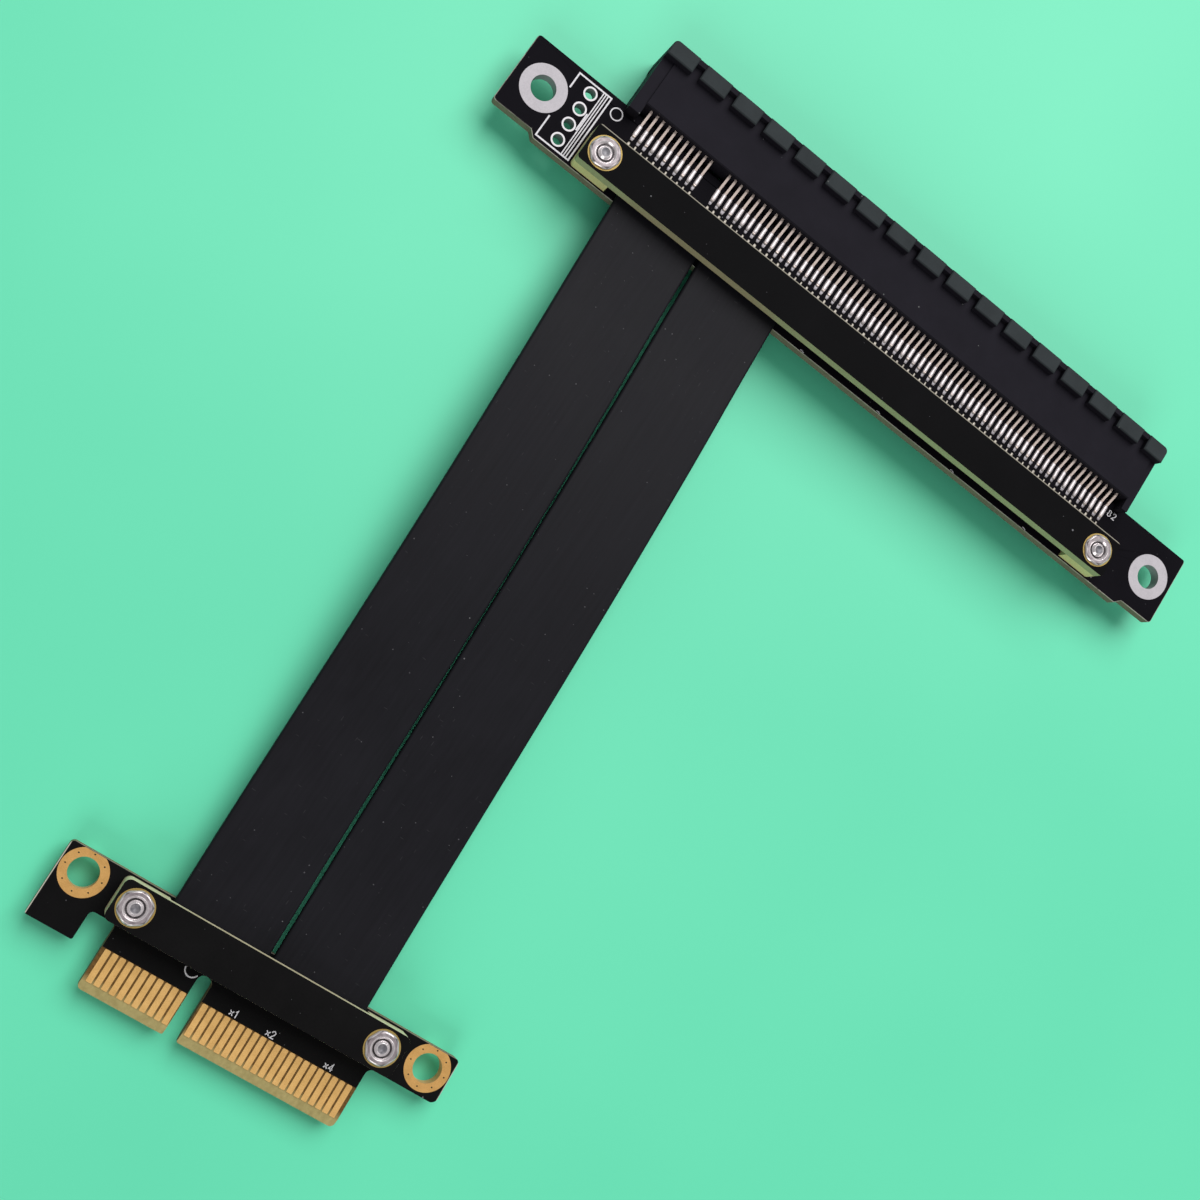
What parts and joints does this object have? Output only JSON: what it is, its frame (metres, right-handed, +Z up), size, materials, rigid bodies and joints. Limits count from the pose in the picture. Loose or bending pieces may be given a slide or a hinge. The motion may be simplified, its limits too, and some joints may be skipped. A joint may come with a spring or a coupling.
{
  "type": "pcie extension cable",
  "caption": "Flat ribbon extension cable for an expansion card, with a card-edge connector board at one end and a full-length card slot on a long board at the other.",
  "frame": {"origin": "centre of the outline, on the surface that the cable lies on", "axes": "+Z up; +X along the slot board; +Y from the edge connector towards the slot's mouth"},
  "size_m": [0.115, 0.1368, 0.0089],
  "materials": {
    "board_black": "satin black solder mask",
    "housing_black": "matt moulded",
    "spacer_resin": "sawn glass-fibre board",
    "cover_black": "satin black solder mask",
    "ribbon_black": "satin",
    "gold": "plated",
    "tin": "tinned",
    "steel": "nickel plated",
    "copper_wire": "tinned copper"
  },
  "bodies": {
    "root": {"slot_board": "board_black", "slot_housing_upper": "housing_black", "slot_housing_lower": "housing_black", "slot_housing_core": "housing_black", "slot_contacts_upper": "tin", "slot_contacts_lower": "tin", "slot_mount_rings": "tin", "slot_header_eyelets": "tin", "slot_cover": "cover_black", "slot_spacer_left": "spacer_resin", "slot_spacer_right": "spacer_resin", "slot_screws": "steel", "slot_nuts": "steel", "slot_nut_lands": "gold", "edge_board": "board_black", "edge_fingers_upper": "gold", "edge_fingers_lower": "gold", "edge_mount_rings": "gold", "edge_cover": "cover_black", "edge_spacer_left": "spacer_resin", "edge_spacer_right": "spacer_resin", "edge_screws": "steel", "edge_nuts": "steel", "edge_nut_lands": "gold", "ribbon_left": "ribbon_black", "ribbon_right": "ribbon_black", "ribbon_left_conductors": "copper_wire", "ribbon_right_conductors": "copper_wire"}
  },
  "joints": []
}
